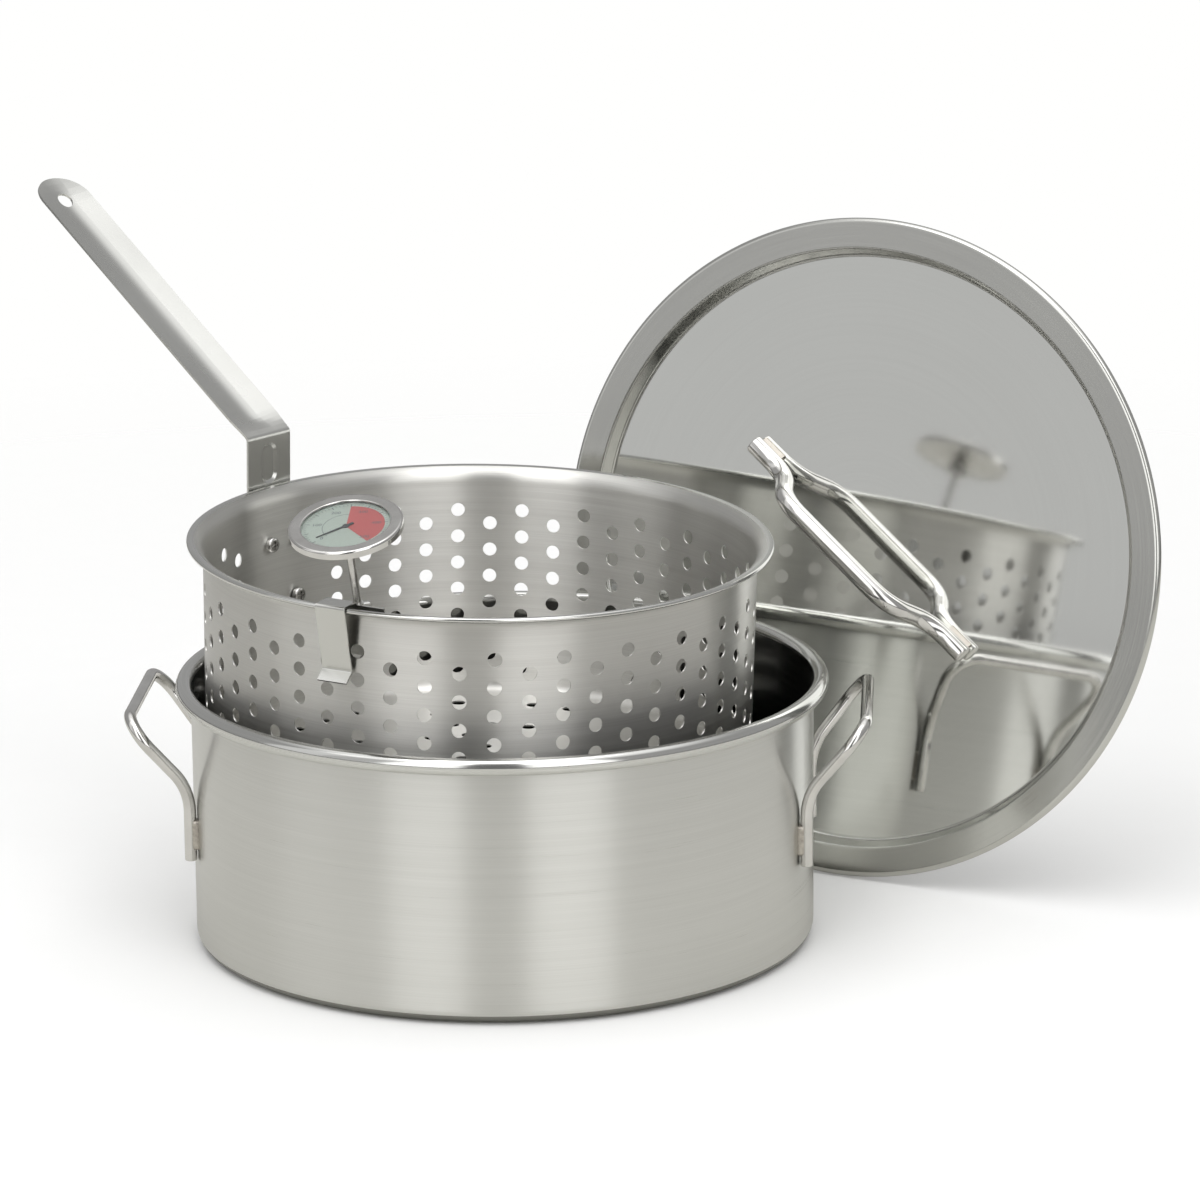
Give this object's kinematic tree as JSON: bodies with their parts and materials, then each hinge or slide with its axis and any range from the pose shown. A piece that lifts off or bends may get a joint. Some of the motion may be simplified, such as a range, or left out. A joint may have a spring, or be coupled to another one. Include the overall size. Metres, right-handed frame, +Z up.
{
  "type": "fry pot kit",
  "caption": "Wide straight-sided metal fry pot with side handles, a hooked perforated basket with a long handle, a clip-on dial thermometer and a recessed lid.",
  "frame": {"origin": "centre of the pot's base, on the surface that it stands on", "axes": "+Z up along the pot's axis, +X through the right pot handle, +Y away from the front"},
  "size_m": [0.5726, 0.3562, 0.3406],
  "materials": {
    "pot_steel": "satin drawn stainless steel, rolled rim",
    "rod_steel": "polished stainless rod",
    "weld_steel": "as welded",
    "basket_steel": "fine circumferential brushing, punched holes",
    "grip_steel": "smooth pressed stainless sheet",
    "fastener_steel": "bright stainless",
    "clip_steel": "smooth spring sheet",
    "bezel_steel": "polished, crimped",
    "lens_glass": "clear flat glass",
    "gasket_rubber": "matte",
    "dial_face": "printed pale dial with a red sector",
    "case_steel": "pressed",
    "needle_black": "matte black",
    "coil_bimetal": "plain",
    "lid_steel": "mirror-polished recessed panel, brushed flange"
  },
  "bodies": {
    "pot": {"pot_shell": "pot_steel", "pot_handle_right": "rod_steel", "pot_handle_left": "rod_steel", "pot_handle_welds_right": "weld_steel", "pot_handle_welds_left": "weld_steel"},
    "basket": {"basket_shell": "basket_steel", "basket_handle": "grip_steel", "basket_handle_screws": "fastener_steel", "basket_handle_washers": "fastener_steel", "basket_handle_nuts": "fastener_steel"},
    "clip": {"thermometer_clip": "clip_steel"},
    "thermometer": {"thermometer_case": "case_steel", "thermometer_bezel": "bezel_steel", "thermometer_lens": "lens_glass", "thermometer_gasket": "gasket_rubber", "thermometer_dial": "dial_face", "thermometer_fitting": "fastener_steel", "thermometer_stem": "fastener_steel", "thermometer_coil": "coil_bimetal"},
    "needle": {"thermometer_needle": "needle_black", "thermometer_spindle": "fastener_steel"},
    "lid": {"lid_pan": "lid_steel", "lid_handle": "rod_steel", "lid_handle_welds": "weld_steel"}
  },
  "joints": [
    {"name": "basket_lift", "type": "slide", "parent": "pot", "child": "basket", "axis": [0, 0, 1], "range_m": [0, 0.2]},
    {"name": "clip_turn", "type": "hinge", "parent": "basket", "child": "clip", "pos_m": [-0.0103, 0.00755, 0.1952], "axis": [0.0239, -0.0242, 0.9994], "range_deg": [-80, 225]},
    {"name": "stem_slide", "type": "slide", "parent": "clip", "child": "thermometer", "axis": [-0.0831, -0.2875, 0.9542], "range_m": [-0.025, 0.06]},
    {"name": "needle_turn", "type": "hinge", "parent": "thermometer", "child": "needle", "pos_m": [-0.06195, -0.12472, 0.23544], "axis": [-0.0831, -0.2875, 0.9542], "range_deg": [-270, 15]},
    {"name": "lid_lift", "type": "slide", "parent": "pot", "child": "lid", "axis": [0.0678, 0.1376, 0.9882], "range_m": [0, 0.35]}
  ]
}
